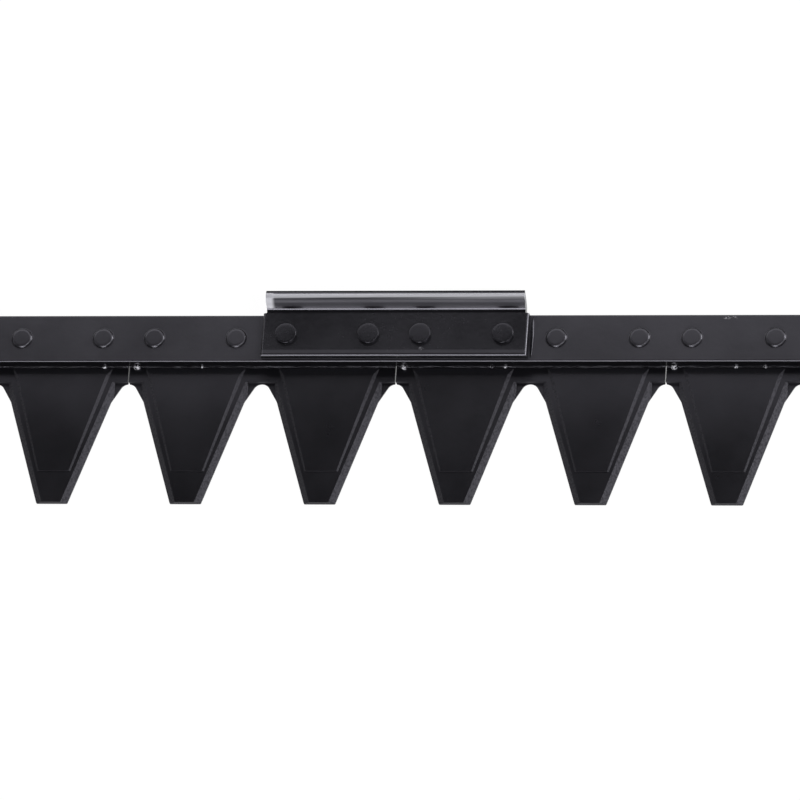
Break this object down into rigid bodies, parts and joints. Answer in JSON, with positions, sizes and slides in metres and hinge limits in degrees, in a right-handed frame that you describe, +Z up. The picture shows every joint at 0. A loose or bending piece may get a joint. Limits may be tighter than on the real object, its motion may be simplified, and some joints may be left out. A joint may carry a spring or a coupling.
{
  "type": "sickle bar mower knife",
  "caption": "Straight mower knife: steel blade sections with bevelled teeth riveted under a flat bar, with a guide plate and upturned lip on top.",
  "frame": {"origin": "middle of the knife's outer box, on the plane that the blade sections lie on", "axes": "+X along the knife, +Y from the tooth tips to the knife back, +Z up through the sections and the bar"},
  "size_m": [0.56, 0.1104, 0.0217],
  "materials": {
    "bar_paint": "semi-gloss black paint",
    "blade_paint": "semi-gloss black paint",
    "plate_paint": "gloss black paint",
    "rivet_paint": "gloss black paint"
  },
  "bodies": {
    "root": {"blade_section_1": "blade_paint", "blade_section_2": "blade_paint", "blade_section_3": "blade_paint", "blade_section_4": "blade_paint", "knife_back": "bar_paint", "guide_plate": "plate_paint", "plate_rivets": "rivet_paint", "section_1_rivets": "rivet_paint", "section_2_rivets": "rivet_paint", "section_3_rivets": "rivet_paint", "section_4_rivets": "rivet_paint"}
  },
  "joints": []
}
